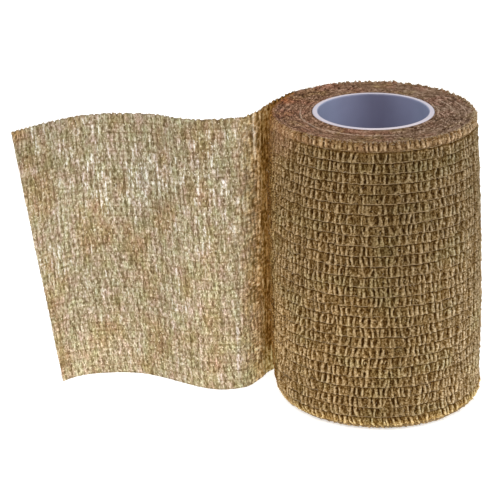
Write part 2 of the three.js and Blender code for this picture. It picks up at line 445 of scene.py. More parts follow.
def arch_shape(rng):
    """A low arch or sill of cloth that joins a fold to the next one."""
    return {
        "length": rng.uniform(0.9, 1.5),
        "centre": rng.choice([-0.65, 0.6]) + rng.normal(0, 0.15),
        "lift": rng.normal(0.1, 0.3),
        "thickness": rng.uniform(0.14, 0.24),
        "rise": rng.uniform(0.25, 0.5),
    }


def raise_arch(height, distance, across, shape):
    """Raises an arch in a patch of heights, from this fold on to the next."""
    along = distance / shape["length"]
    middle = shape["centre"] + shape["lift"] * np.sin(np.pi * np.clip(along, 0, 1))
    profile = np.clip(1 - ((across - middle) / shape["thickness"]) ** 2, 0, 1)
    profile = np.sqrt(profile) * smoothstep(-0.1, 0.1, along) * smoothstep(1.1, 0.9, along)
    np.maximum(height, GROUND_HEIGHT + shape["rise"] * profile, out=height, where=profile > 0)


def loop_shape(rng):
    """A small curl of yarn: a ring seen from its front."""
    return {
        "radius": rng.uniform(0.28, 0.45),
        "centre": rng.normal(-0.2, 0.3),
        "thickness": rng.uniform(0.12, 0.18),
        "rise": rng.uniform(0.3, 0.5),
    }


def raise_loop(height, distance, across, shape):
    """Raises a curl in a patch of heights."""
    out = np.hypot(distance, (across - shape["centre"]) * HALF_ROW) - shape["radius"]
    profile = np.sqrt(np.clip(1 - (out / shape["thickness"]) ** 2, 0, 1))
    np.maximum(height, GROUND_HEIGHT + shape["rise"] * profile, out=height, where=profile > 0)


def crinkle(folds, rows, column_count, length, shares, seed):
    """Heights from 0 to 1.1 by row, level and column for cloth of this length, and a tone for each fold."""
    rng = np.random.default_rng(SEED + seed)
    pitch = folds["pitch"]
    step = length / column_count
    spots = np.arange(column_count) * step
    level = np.array(shares)
    warp_place = (spots / length, (np.arange(rows)[:, None, None] + level[:, None]) / rows)
    cells = round(length / WARP["cell"])
    warp_along = WARP["along"] * smooth_noise(*warp_place, cells, rows * 3, seed + 2)
    across = level[:, None] * 2 - 1 + WARP["across"] * smooth_noise(*warp_place, cells, rows * 3, seed + 3)
    ground = GROUND_HEIGHT + 0.07 * smooth_noise(*warp_place, cells, rows * 2, seed + 4)
    heights = np.broadcast_to(ground, (rows, len(shares), column_count)).copy()
    tones = np.empty((rows, column_count))
    reach = int(2.0 / step)
    window = np.arange(-reach, reach + 1)

    def change(row, spot, make, shape):
        nearest = int(spot / step)
        columns = (nearest + window) % column_count
        distance = (nearest + window) * step - spot + warp_along[row][:, columns]
        patch = heights[row][:, columns]
        make(patch, distance, across[row][:, columns], shape)
        heights[row][:, columns] = patch

    for row, places in enumerate(fold_table(length, folds, rows, seed + 1)):
        tones[row] = rng.uniform(-1, 1, len(places) + 1)[np.searchsorted(places, spots)]
        shapes = [fold_shape(rng, folds) for _ in places]
        for place, shape in zip(places, shapes):
            for side in (-1, 1):
                if rng.random() < 0.85:
                    beside = place + side * (shape["width"] + rng.uniform(0.1, 0.3))
                    change(row, beside, sink_hollow, hollow_shape(rng))
            if rng.random() < 0.5:
                change(row, place + pitch * rng.uniform(0.3, 0.7), sink_hollow, wrinkle_shape(rng))
        for place, shape in zip(places, shapes):
            change(row, place, raise_fold, shape)
            kind = rng.random()
            if kind < 0.2:
                change(row, place, raise_arch, arch_shape(rng))
            elif kind < 0.34:
                change(row, place + pitch / 2, raise_loop, loop_shape(rng))
    return np.clip(heights, 0, 1.1), tones


def cavity(height, columns, rings):
    """How far each place stands above the mean around it; the columns wrap round."""
    mean = sum(np.roll(height, k, axis=1) for k in range(-columns, columns + 1)) / (2 * columns + 1)
    padded = np.pad(mean, ((rings, rings), (0, 0)), mode="edge")
    mean = sum(padded[k:k + len(height)] for k in range(2 * rings + 1)) / (2 * rings + 1)
    return height - mean


# Materials


class Look:
    """A material, with short ways to add the nodes that it is made of."""

    def __init__(self, name):
        self.material = bpy.data.materials.new(name)
        self.material.use_nodes = True
        self.tree = self.material.node_tree
        self.shader = self.tree.nodes["Principled BSDF"]

    def node(self, kind, inputs=None, **settings):
        """Adds a node, links or sets its inputs, and gives its outputs."""
        node = self.tree.nodes.new("ShaderNode" + kind)
        for key, value in settings.items():
            setattr(node, key, value)
        for key, value in (inputs or {}).items():
            if isinstance(value, bpy.types.NodeSocket):
                self.tree.links.new(value, node.inputs[key])
            else:
                node.inputs[key].default_value = value
        return node.outputs

    def attribute(self, name, output="Fac"):
        return self.node("Attribute", attribute_name=name)[output]

    def axis(self, vector, letter):
        return self.node("SeparateXYZ", {0: vector})[letter]

    def math(self, operation, a, b=0.0):
        return self.node("Math", {0: a, 1: b}, operation=operation)[0]

    def total(self, first, *others):
        for other in others:
            first = self.math("ADD", first, other)
        return first

    def stretch(self, vector, by):
        return self.node("VectorMath", {0: vector, 1: by}, operation="MULTIPLY")[0]

    def noise(self, place, stretch, detail=2.0, roughness=0.6):
        """Noise with cells of one millimetre divided by stretch each way."""
        spot = self.stretch(place, stretch)
        inputs = {"Vector": spot, "Scale": 1.0, "Detail": detail, "Roughness": roughness}
        return self.node("TexNoise", inputs)["Fac"]

    def remap(self, value, from_low, from_high, to_low, to_high):
        return self.node("MapRange", {0: value, 1: from_low, 2: from_high, 3: to_low, 4: to_high})[0]

    def swing(self, noise, reach, middle=0.0):
        """Noise turned into a value that swings this far about a middle."""
        return self.remap(noise, 0.3, 0.7, middle - reach, middle + reach)

    def ramp(self, factor, stops):
        node = self.tree.nodes.new("ShaderNodeValToRGB")
        self.tree.links.new(factor, node.inputs["Fac"])
        elements = node.color_ramp.elements
        while len(elements) < len(stops):
            elements.new(0.5)
        for element, (place, colour) in zip(elements, stops):
            element.position = place
            element.color = (*colour, 1)
        return node.outputs["Color"]

    def mix(self, factor, a, b, blend="MIX"):
        """Mixes two colours, each a socket or a triple."""
        a, b = (c if isinstance(c, bpy.types.NodeSocket) else (*c, 1) for c in (a, b))
        return self.node("Mix", {0: factor, 6: a, 7: b}, data_type="RGBA", blend_type=blend)[2]

    def tint(self, colour, by, share=1.0):
        return self.mix(share, colour, by, "MULTIPLY")

    def finish(self, colour, roughness, specular=None, bump=None):
        """Sets the shader; bump is a height, its strength and its depth in millimetres."""
        self.tree.links.new(colour, self.shader.inputs["Base Color"])
        self.shader.inputs["Roughness"].default_value = roughness
        if specular is not None:
            self.shader.inputs["Specular IOR Level"].default_value = specular
        if bump:
            height, strength, depth = bump
            bumped = self.node("Bump", {"Height": height, "Strength": strength, "Distance": depth * MM})
            self.tree.links.new(bumped["Normal"], self.shader.inputs["Normal"])
        return self.material


def edge_colour(look, place, relief):
    """Fibres and colour of the wound edges: reddish brown felt, with the relief's painted shade darker in its
    pits.
    """
    felt = look.noise(place, (3, 3, 3), 3.0, 0.7)
    reddish = look.noise(place, (0.17, 0.17, 0.17), 2.0, 0.5)
    moved = look.node("VectorMath", {0: place, 1: (31, 7, 3)})[0]
    ochre = look.noise(moved, (0.2, 0.2, 0.2), 2.0, 0.5)
    colour = look.ramp(look.total(relief, look.swing(felt, 0.26)), [
        (0.0, (0.036, 0.014, 0.005)),
        (0.3, (0.090, 0.046, 0.024)),
        (0.6, (0.172, 0.098, 0.058)),
        (1.0, (0.380, 0.255, 0.180)),
    ])
    colour = look.tint(colour, (1.08, 0.93, 0.95), look.remap(reddish, 0.5, 0.68, 0.0, 1.0))
    return felt, look.tint(colour, (0.98, 1.02, 0.78), look.remap(ochre, 0.52, 0.68, 0.0, 1.0))


def side_cloth():
    """Crinkled cloth on the side: dark in the gaps and tan on the folds by painted shade from the relief,
    with felted fibres.
    """
    look = Look("side_cloth")
    place = look.attribute("cloth", "Vector")
    relief = look.attribute("relief")
    fibres = look.noise(place, (2.8, 2.4, 1), 3.0, 0.7)
    specks = look.noise(place, (3.4, 3.2, 1))
    curls = look.noise(place, (1.9, 1.5, 1))
    olive = look.noise(place, (0.09, 0.14, 1), 2.0, 0.5)
    wool = look.swing(look.noise(place, (2.9, 2.3, 1), 2.0, 0.65), 0.5)
    wool = look.math("MULTIPLY", wool, look.attribute("felted"))
    colour = look.ramp(look.total(relief, look.swing(fibres, 0.34), wool, look.swing(curls, 0.2)), [
        (0.0, (0.032, 0.011, 0.001)),
        (0.25, (0.070, 0.033, 0.005)),
        (0.5, (0.148, 0.088, 0.030)),
        (0.75, (0.262, 0.177, 0.083)),
        (1.0, (0.430, 0.320, 0.185)),
    ])
    # The tone carries painted light and shade by height, round the turn and at the base
    colour = look.tint(colour, look.attribute("tone", "Color"))
    colour = look.tint(colour, look.swing(specks, 0.38, 1.0))
    colour = look.tint(colour, (0.86, 1.0, 0.95), look.remap(olive, 0.5, 0.7, 0.0, 0.6))
    rim = edge_colour(look, place, relief)[1]
    along = look.axis(place, "X")
    rim = look.tint(rim, (0.95, 0.84, 0.76), look.remap(along, 25.0, 60.0, 1.0, 0.0))
    rim = look.tint(rim, (1.1, 0.84, 0.6), look.remap(along, 6.0, 16.0, 1.0, 0.0))
    colour = look.mix(look.attribute("rim"), colour, rim)
    return look.finish(colour, 0.9, 0.05, (fibres, 0.8, 0.15))


def edge_cloth():
    """Wound edges on the end faces: reddish brown felted cloth with a few pale lines."""
    look = Look("edge_cloth")
    place = look.attribute("cloth", "Vector")
    felt, colour = edge_colour(look, place, look.attribute("relief"))
    left = look.remap(look.axis(place, "X"), 12.0, 38.0, 1.0, 0.0)
    colour = look.tint(colour, look.mix(left, (0.94, 1.0, 1.03), (0.97, 0.88, 0.81)))
    away = look.node("VectorMath", {0: place, 1: RUST_PLACE}, operation="DISTANCE")["Value"]
    colour = look.tint(colour, (1.25, 0.84, 0.58), look.remap(away, 0.8, 3.6, 1.0, 0.0))
    colour = look.mix(look.attribute("tone"), colour, (0.46, 0.34, 0.25))
    return look.finish(colour, 0.95, 0.15, (felt, 0.9, 0.2))


def thread_cloth():
    """The elastic threads: thin, a little lighter than the cloth and covered with its fibres."""
    look = Look("thread_cloth")
    grain = look.noise(look.attribute("cloth", "Vector"), (1.2, 6, 1))
    return look.finish(look.ramp(grain, [(0.3, (0.120, 0.070, 0.024)), (0.7, (0.34, 0.235, 0.115))]), 0.85)


def fibre_cloth():
    """Single fibres, paler than the cloth that they stand out from."""
    look = Look("fibre_cloth")
    look.shader.inputs["Base Color"].default_value = (0.42, 0.32, 0.20, 1)
    look.shader.inputs["Roughness"].default_value = 0.8
    return look.material


def core_plastic():
    """Smooth plastic: pale lavender white on the rim and outside; the bore is painted blue grey as painted
    shade, lighter towards its flanks as a painted reflection.
    """
    look = Look("core_plastic")
    place = look.node("TexCoord")["Object"]
    clouds = look.noise(place, (60, 60, 60), 3.0)
    scratches = look.noise(place, (900, 900, 90))
    pale = look.ramp(clouds, [(0.3, (0.43, 0.405, 0.475)), (0.7, (0.53, 0.47, 0.495))])
    # Painted shade in the bore, with a painted reflection that lightens it towards its flanks
    bore_painted_shade = look.ramp(look.attribute("flank_painted_light"), [
        (0.1, (0.098, 0.096, 0.155)),
        (0.6, (0.160, 0.168, 0.255)),
        (1.0, (0.225, 0.255, 0.370)),
    ])
    bore_painted_shade = look.tint(bore_painted_shade, look.swing(clouds, 0.12, 1.0))
    look.finish(look.mix(look.attribute("bore"), pale, bore_painted_shade), 0.43, None, (scratches, 0.15, 0.03))
    look.tree.links.new(look.swing(scratches, 0.07, 0.43), look.shader.inputs["Roughness"])
    return look.material


def sheer_cloth():
    """The loose end: thin, stretched cloth, pale on its folds and darker between them by painted shade, and
    warm brown next to the roll, painted lighter there for the light that passes through it.
    """
    look = Look("sheer_cloth")
    place = look.attribute("cloth", "Vector")
    root = look.attribute("root")
    flat = look.stretch(place, (1, 1, 0))
    streaks = look.noise(flat, (1.9, 0.17, 1), 1.5)
    fibres = look.noise(flat, (2.9, 1.05, 1), 3.0, 0.7)
    strands = look.noise(flat, (1.9, 0.12, 1))
    knots = look.noise(flat, (2.0, 0.9, 1), 2.0, 0.65)
    grain = look.noise(flat, (3.2, 2.6, 1))
    hue = look.noise(flat, (0.42, 0.2, 1), 3.0, 0.7)
    warm = look.noise(flat, (0.11, 0.06, 1))
    streaked = look.remap(streaks, 0.35, 0.65, -0.14, 0.14)
    # The relief carries painted shade: lighter on the crinkles' crests, darker in their hollows
    shade = look.total(look.attribute("relief"), look.swing(fibres, 0.58), streaked)
    stretched = look.ramp(shade, [
        (0.0, (0.150, 0.103, 0.046)),
        (0.25, (0.285, 0.221, 0.124)),
        (0.5, (0.445, 0.370, 0.242)),
        (0.75, (0.645, 0.568, 0.430)),
        (1.0, (0.920, 0.845, 0.710)),
    ])
    stretched = look.tint(stretched, look.ramp(hue, [
        (0.35, (0.91, 0.985, 0.84)),
        (0.5, (0.97, 0.965, 0.93)),
        (0.65, (1.03, 0.92, 1.0)),
    ]))
    stretched = look.tint(stretched, (0.90, 0.79, 0.65), look.remap(warm, 0.47, 0.62, 0.0, 1.0))
    # Painted light next to the roll: the bunched cloth is painted brighter and warmer than its own colour,
    # standing in for the light that passes through it from behind
    bunched = look.ramp(look.total(shade, look.swing(strands, 0.42), look.swing(knots, 0.5)), [
        (0.0, (0.130, 0.060, 0.006)),
        (0.25, (0.270, 0.148, 0.036)),
        (0.5, (0.500, 0.315, 0.120)),
        (0.75, (0.820, 0.600, 0.310)),
        (1.0, (1.0, 0.880, 0.600)),
    ])
    colour = look.tint(look.mix(root, stretched, bunched), look.swing(grain, 0.24, 1.0))
    dots = look.node("TexVoronoi", {"Vector": look.stretch(flat, (1, 0.8, 1)), "Scale": 1.3})["Distance"]
    glint = look.mix(root, (0.95, 0.84, 0.62), (1.0, 0.76, 0.42))
    colour = look.mix(look.remap(dots, 0.12, 0.27, 0.85, 0.0), colour, glint)
    # The tone carries painted light and shade by height and next to the roll
    colour = look.tint(colour, look.attribute("tone", "Color"))
    row = look.math("FRACT", look.axis(place, "Z"))
    line = look.remap(look.math("ABSOLUTE", look.math("SUBTRACT", row, 0.5)), 0.42, 0.47, 0.0, 1.0)
    line = look.math("MULTIPLY", line, look.remap(grain, 0.34, 0.56, 0.05, 1.0))
    colour = look.tint(colour, (0.68, 0.60, 0.48), line)
    look.finish(colour, 0.85, 0.2, (fibres, 0.6, 0.12))
    passed = look.node("Gamma", {"Color": colour, "Gamma": 0.5})[0]
    translucent = look.node("BsdfTranslucent", {"Color": passed})[0]
    share = look.remap(root, 0.0, 1.0, 0.45, 0.85)
    cloth = look.node("MixShader", {0: share, 1: look.shader.outputs[0], 2: translucent})[0]
    thin = look.math("MULTIPLY", look.attribute("pale"), look.remap(shade, 0.3, 0.8, 0.1, 0.66))
    thin = look.math("MULTIPLY", thin, look.remap(streaks, 0.44, 0.62, 0.1, 1.0))
    mixed = look.node("MixShader", {0: thin, 1: cloth, 2: look.node("BsdfTransparent")[0]})[0]
    look.tree.links.new(mixed, look.tree.nodes["Material Output"].inputs["Surface"])
    return look.material


def floor_white():
    look = Look("floor_white")
    look.shader.inputs["Base Color"].default_value = (0.85, 0.85, 0.85, 1)
    look.shader.inputs["Roughness"].default_value = 0.8
    look.shader.inputs["Emission Color"].default_value = (1, 1, 1, 1)
    look.shader.inputs["Emission Strength"].default_value = 0.55
    return look.material


# Pieces of the roll


def thread_height(line, angle_share):
    """Where an elastic thread runs on the side: its height wanders a little round the roll."""
    if line == 0:
        return 0.1 + 0.16 * smooth_noise(angle_share, angle_share * 0, 150, 1, 4)
    if line == ROW_COUNT:
        return np.full_like(angle_share, WIDTH * line / ROW_COUNT)
    level = (line - 1) / (ROW_COUNT - 2)
    height = lerp(BASE_ROW_HEIGHT, WIDTH - TOP_ROW_HEIGHT, level) + THREAD_BOW * math.sin(math.pi * level)
    up = np.full_like(angle_share, line / ROW_COUNT)
    hold = math.sin(math.pi * line / ROW_COUNT) ** 0.5
    return height + noise_sum(THREAD_WANDER, angle_share, up) * hold


def felted_share(wound, share, z):
    """How felted the cloth is, from 0 to 1: it is felted next to the place where the loose end leaves."""
    up_to = np.interp(z, FELTED["height"], FELTED["up_to"])
    return smoothstep(up_to + PASSAGE, up_to, wound + 0.02 * smooth_noise(share, z / WIDTH, 70, 12, 50))


def side_surface():
    """The crinkled side as arrays of ring and column, ring by ring from the floor up."""
    wound, angle, share = last_turn(SIDE_COLUMNS)
    shares = [level["share"] for level in ROW_LEVELS]
    length = TAU * ROLL_RADIUS["middle"]
    folds, fold_tones = crinkle(SIDE_FOLDS, ROW_COUNT, SIDE_COLUMNS, length, shares, 11)
    top_folds, top_tones = crinkle(TOP_ROW_FOLDS, 1, SIDE_COLUMNS, length, shares, 15)
    folds[-1], fold_tones[-1] = lerp(0.1, 1, top_folds[0]), top_tones[0]
    lines = [thread_height(line, share) for line in range(ROW_COUNT + 1)]
    turn_painted_light = tint_at(PAINTED_LIGHT_ROUND_TURN, "share", wound)
    past_root = smoothstep(0.1, 0.18, wound)
    surface = {key: [] for key in ("z", "height", "shade", "tone", "rim", "felted")}
    for row in range(ROW_COUNT):
        is_top = row == ROW_COUNT - 1
        up = np.full_like(share, (row + 0.5) / ROW_COUNT)
        felted = felted_share(wound, share, lines[row])
        sunk = np.clip(0.45 + noise_sum(SUNK_THREADS, share, up), 0.0, 1) * (1 - 0.85 * felted)
        if row >= ROW_COUNT - 2:
            sunk = np.maximum(sunk, 0.75 - 0.5 * felted)
        row_tone = 1 + 0.2 * (noise_sum(SIDE_TONES, share, up) + 0.5 * fold_tones[row]) * (1 - 0.5 * felted)
        for index, level in enumerate(ROW_LEVELS):
            up_row = level["share"]
            z = lerp(lines[row], lines[row + 1], up_row)
            fine = smooth_noise(share, z / WIDTH, 470, 180, 31)
            lumpy = smooth_noise(share, z / WIDTH, 210, 80, 32)
            knots = smooth_noise(share, z / WIDTH, 240, 108, 33)
            crisp = folds[row, index] * (1 - 0.06 * smoothstep(0.4, 1.0, up_row)) + 0.18 * knots
            felt = 0.62 + 0.45 * (folds[row, index] - 0.6) + 0.16 * lumpy
            ring = lerp(crisp, felt, 0.85 * felted) + 0.15 * fine
            if is_top:
                ring = ring * (1 - 0.6 * smoothstep(0.3, 0.05, up_row) * (1 - felted))
            else:
                ring = ring * (1 - level["groove"] * sunk)
            # The tone holds random tone and painted light: darker towards the top, lighter on the felted
            # cloth next to the loose end, and lighter or darker round the turn and at the base
            tone = row_tone * np.interp(z, SIDE_PAINTED_LIGHT_BY_HEIGHT["height"], SIDE_PAINTED_LIGHT_BY_HEIGHT["share"]) * (1 + 0.42 * felted)
            even = 0.85 * smoothstep(6.5, 1.5, z)[:, None]
            tints = lerp(turn_painted_light, BASE_EVEN_PAINTED_LIGHT, even) * tint_at(BASE_PAINTED_LIGHT, "height", z)
            # Painted shade in each row: lighter at its foot and darker under the next thread, where the
            # thread and the folds above shade it
            shade = 0.08 * smoothstep(0.4, 0.05, up_row) - 0.18 * smoothstep(0.75, 0.93, up_row)
            reddish = 0.8 * smoothstep(60, 75, z + 2 * lumpy) * felted
            surface["z"].append(z)
            surface["height"].append(np.clip(ring, 0, 1.2))
            surface["tone"].append(tone[:, None] * tints)
            surface["felted"].append(felted)
            surface["shade"].append(shade * (1 - 0.7 * felted) * (0.7 + 0.6 * lumpy))
            surface["rim"].append(np.maximum(reddish, 0.35 * is_top) * past_root)
    surface["z"].append(lines[-1])
    surface["height"].append(surface["height"][-3])
    for key in ("shade", "tone", "rim", "felted"):
        surface[key].append(surface[key][-1])
    surface = {key: np.stack(rings) for key, rings in surface.items()}
    envelope = envelope_radius(angle[None, :], wound[None, :], surface["z"])
    surface["radius"] = envelope - FOLD_DEPTH * (1 - surface["height"])
    # Painted shade and highlight from the relief: darker in the hollows between the folds, lighter on their
    # crests, with the rows' painted shade added; it is evened out on the base row
    relief = 0.3 + 0.4 * surface["height"] + 0.7 * cavity(surface["height"], 4, 1) + surface["shade"]
    relief = lerp(relief, 0.5, 0.7 * smoothstep(3.0, 1.0, surface["z"]))
    surface["relief"] = np.clip(relief, 0, 1.15)
    along = np.broadcast_to(wound * length, surface["z"].shape)
    surface["cloth"] = np.stack([along, surface["z"], np.zeros_like(along)], -1)
    return wound, angle, surface


# The lip folds over the top edge: steps inwards and up in millimetres, and how like the end face it is
LIP_STEPS = [
    {"inward": 0.25, "rise": 0.06, "rim": 0.35},
    {"inward": 0.5, "rise": 0.0, "rim": 0.85},
    {"inward": 0.85, "rise": -0.15, "rim": 1.0},
    {"inward": 1.1, "rise": -1.1, "rim": 1.0},
]
INNER_WALL_RADIUS = 20.0


def add_lip(surface, wound):
    """Scallops the top edge between its folds and turns it inwards."""
    share = np.arange(wound.size) / wound.size
    felted = surface["felted"][-1]
    edge = lerp(surface["height"][-1], 0.5, 0.8 * felted)
    ragged = 0.14 * smooth_noise(share, np.full_like(share, 0.5), 330, 2, 57)
    worn = smooth_noise(share, np.full_like(share, 0.5), 300, 2, 58)
    parting = smoothstep(0.86, 0.98, wound)
    surface["z"][-1] = WIDTH + 0.08 + 0.42 * edge + ragged - 0.1 * felted - 0.42 * parting
    surface["cloth"][-1, :, 1] = surface["z"][-1]
    last = {key: array[-1] for key, array in surface.items()}
    for step in LIP_STEPS:
        cloth = last["cloth"].copy()
        cloth[:, 1] += step["inward"] + abs(step["rise"])
        added = {
            **last,
            "z": last["z"] + step["rise"],
            "radius": last["radius"] - step["inward"],
            # The relief's painted shade runs on over the lip, a little lighter where the lip turns up, and
            # gives way to the felt's own even colour
            "relief": lerp(last["relief"] + 0.1, 0.55 + 0.25 * worn, 0.9 * step["rim"]),
            "rim": np.maximum(last["rim"], step["rim"]),
            "cloth": cloth,
        }
        for key, array in added.items():
            surface[key] = np.concatenate([surface[key], array[None]])


def build_side(material):
    wound, angle, surface = side_surface()
    add_lip(surface, wound)
    z = surface["z"] = surface["z"] + BASE_LIFT * smoothstep(3.5, 0.5, surface["z"])
    points = on_roll(surface["radius"], angle[None, :], z, centre_x(z))
    rows_per_piece = math.ceil(ROW_COUNT / SIDE_PIECES)
    pieces = []
    for index in range(SIDE_PIECES):
        first = index * rows_per_piece * len(ROW_LEVELS)
        last = len(z) if index == SIDE_PIECES - 1 else first + rows_per_piece * len(ROW_LEVELS) + 1
        part = slice(first, last)
        walls = []
        for ring, drop in ((last - 1, 0.3), (first, 0.0)):
            wall_z = z[ring] - drop
            walls.append(on_roll(np.full_like(angle, INNER_WALL_RADIUS), angle, wall_z, centre_x(wall_z)))
        stack = np.concatenate([points[part], np.stack(walls)])
        values = {}
        for label in ("relief", "tone", "rim", "felted", "cloth"):
            shown = surface[label][part]
            padded = np.concatenate([shown, shown[-1:], shown[:1]])
            values[label] = padded.reshape(-1, 3) if padded.ndim == 3 else padded.ravel()
        faces = ring_faces(len(stack), SIDE_COLUMNS)
        pieces.append(make_mesh(f"wound_side_{index + 1}", stack.reshape(-1, 3), faces, values, material))
    return pieces, surface, angle


def build_threads(material, surface):
    """A thin tube for each elastic thread, lying between two rows of folds."""
    wound, angle, share = last_turn(THREAD_STEPS)
    column = wound * (SIDE_COLUMNS - 1)
    smoothing = np.ones(2 * THREAD_SMOOTHING + 1) / (2 * THREAD_SMOOTHING + 1)
    turns = np.arange(THREAD_SIDES)[:, None] / THREAD_SIDES * TAU
    points, faces, cloth = [], [], []
    for line in range(1, ROW_COUNT):
        z = thread_height(line, share)
        ground = np.pad(surface["height"][line * len(ROW_LEVELS)], THREAD_SMOOTHING, mode="wrap")
        ground = np.interp(column, np.arange(SIDE_COLUMNS), np.convolve(ground, smoothing, "valid"))
        dip = 0.24 * smooth_noise(share, np.full_like(share, line / ROW_COUNT), 90, ROW_COUNT, 55)
        dip -= 0.3 * felted_share(wound - 0.03, share, z)
        radius = envelope_radius(angle, wound, z) - FOLD_DEPTH * (1 - ground) - 0.02 + dip
        tube_radius = radius + THREAD_RADIUS * np.cos(turns)
        tube_z = z + THREAD_RADIUS * np.sin(turns)
        tube = on_roll(tube_radius, np.broadcast_to(angle, tube_z.shape), tube_z, centre_x(z))
        points.append(tube.reshape(-1, 3))
        faces.append(ring_faces(THREAD_SIDES, THREAD_STEPS) + (line - 1) * tube_z.size)
        along = wound * TAU * ROLL_RADIUS["middle"]
        cloth.append(np.tile(np.stack([along, z, 0 * z], -1), (THREAD_SIDES, 1)))
    values = {"cloth": np.concatenate(cloth)}
    return make_mesh("wound_threads", np.concatenate(points), np.concatenate(faces), values, material)


def turn_edges(angle, wound, outward, rim_radius, seed):
    """Radii, heights, painted shade and grain, and pale lines of the wound edges between the bore and the
    rim.
    """
    spread = (rim_radius - BORE_RADIUS) * outward
    radius = BORE_RADIUS + spread
    pitch = (rim_radius - BORE_RADIUS) / (TURN_COUNT - 0.5 + wound)
    share = angle / TAU % 1

    def grain(across, along, kind):
        return smooth_noise(share, outward, across, along, seed + kind)

    turn = spread / pitch + 1 - wound + 0.3 * grain(40, 14, 0) + 0.2 * grain(150, 24, 1)
    ridge = np.sqrt(np.clip(np.sin(np.pi * (turn - np.floor(turn))), 0, 1))
    streaks = 0.6 * grain(46, 40, 2) + 0.4 * grain(110, 44, 3)
    lumps = grain(170, 14, 4)
    fine = grain(430, 44, 5)
    rough = smoothstep(-0.4, 0.4, grain(13, 3, 9)) * (0.75 + 0.5 * np.abs(np.cos(angle)))
    pits = smoothstep(0.25, 0.6, grain(300, 26, 6)) * rough
    specks = smoothstep(0.35, 0.7, grain(240, 40, 7)) * (0.4 + 0.6 * rough)
    height = 0.14 * ridge + 0.08 * streaks + 0.1 * lumps + 0.06 * fine - 0.3 * pits + 0.08 * specks
    hairs = grain(150, 36, 8)
    # Painted shade and highlight: darker in the pits and between the turns, lighter on the turns' ridges; the
    # streaks, hairs, lumps and specks are the felt's own colour
    relief = 0.18 * (ridge - 0.6) + 0.3 * streaks + 0.22 * hairs + 0.12 * lumps + 0.22 * fine
    contrast = lerp(0.8, 1.2, np.abs(np.cos(angle))) - 0.17 * np.cos(angle)
    relief = 0.46 + (relief - 0.75 * pits + 0.5 * specks) * contrast
    light = np.zeros_like(height)
    for arc in PALE_ARCS:
        wobble = 0.12 * smooth_noise(share, np.full_like(share, 0.5), 90, 2, seed + 10)
        line = np.exp(-(((radius - arc["radius"] - wobble) / 0.16) ** 2))
        degrees = np.degrees(angle) % 360
        away = np.abs((degrees - (arc["from"] + arc["to"]) / 2 + 180) % 360 - 180)
        half = (arc["to"] - arc["from"]) / 2
        dots = 0.6 + 0.5 * smooth_noise(share, np.full_like(share, 0.3), 260, 2, seed + 11)
        light = np.maximum(light, arc["strength"] * line * dots * smoothstep(half, half * 0.85, away))
    return radius, height + 0.12 * light, np.clip(relief, 0, 1.1), np.clip(light, 0, 1)


def build_end_face(name, material, columns, ring_count, top, seed):
    """The wound edges on one end, closed underneath so that the piece is a solid ring."""
    wound, angle, _ = last_turn(columns)
    edge_z = WIDTH - 0.5 if top else 0.25
    rim = envelope_radius(angle, wound, np.full_like(angle, edge_z)) - (0.9 if top else 1.3)
    shape = (ring_count, columns)
    outward = np.broadcast_to(np.linspace(0, 1, ring_count)[:, None], shape)
    grid_angle, grid_wound = np.broadcast_to(angle, shape), np.broadcast_to(wound, shape)
    radius, height, relief, light = turn_edges(grid_angle, grid_wound, outward, rim[None, :], seed)
    if top:
        seat = CORE_HEIGHT - WIDTH - 0.06
        height = height * smoothstep(0.0, 0.12, outward)
        z = WIDTH + height - 0.2 * np.sin(np.pi * outward) + 0.25 * smoothstep(0.82, 0.98, outward)
        z = z - 0.15 * smoothstep(0.0, 0.3, outward) + seat * smoothstep(0.25, 0.0, outward)
        light = light * smoothstep(1, 0.96, outward)
    else:
        z = np.clip(0.3 - height, 0.0, 0.8)
        light = light * 0
    surface = on_roll(radius, grid_angle, z, centre_x(edge_z) * outward)
    under_z = np.full_like(angle, WIDTH - 2 if top else 2.0)
    under_rim = on_roll(rim, angle, under_z, centre_x(edge_z))
    under_bore = on_roll(np.full_like(angle, BORE_RADIUS), angle, under_z, 0 * angle)
    stack = np.concatenate([surface, under_rim[None], under_bore[None]])
    relief = np.concatenate([relief, relief[-1:], relief[:1]])
    light = np.concatenate([light, light[-1:] * 0, light[:1] * 0])
    values = {"relief": relief.ravel(), "tone": light.ravel(), "cloth": stack.reshape(-1, 3)}
    faces = ring_faces(len(stack), columns)
    if top:
        faces = faces[:, ::-1]
    return make_mesh(name, stack.reshape(-1, 3), faces, values, material)


def build_core(material):
    """The plastic tube, smooth and round, with rounded rims."""
    inner = CORE_RADIUS - CORE_WALL
    steps = 8
    segments = 192
    quarter = np.linspace(0, math.pi / 2, steps)
    corners = [
        (CORE_RADIUS - CORE_RIM_ROUNDING, CORE_RIM_ROUNDING, -math.pi / 2),
        (CORE_RADIUS - CORE_RIM_ROUNDING, CORE_HEIGHT - CORE_RIM_ROUNDING, 0),
        (inner + CORE_RIM_ROUNDING, CORE_HEIGHT - CORE_RIM_ROUNDING, math.pi / 2),
        (inner + CORE_RIM_ROUNDING, CORE_RIM_ROUNDING, math.pi),
    ]
    rounding = CORE_RIM_ROUNDING
    profile = np.concatenate([
        np.stack([r + rounding * np.cos(a + quarter), z + rounding * np.sin(a + quarter)], -1)
        for r, z, a in corners
    ])
    angle = np.arange(segments) / segments * TAU
    radius, z = profile[:, :1], np.broadcast_to(profile[:, 1:], (len(profile), segments))
    points = on_roll(radius, angle[None, :], z, 0)
    faces = ring_faces(len(profile), segments)
    # Masks for the bore's painted shade and for the painted reflection on its flanks
    bore = smoothstep(inner + 0.3, inner + 0.15, np.broadcast_to(radius, z.shape))
    flank_painted_light = np.broadcast_to(np.abs(np.cos(angle + 0.15)), z.shape)
    values = {"bore": bore.ravel(), "flank_painted_light": flank_painted_light.ravel()}
    return make_mesh("core_smooth_tube", points.reshape(-1, 3), faces, values, material)


# The loose end


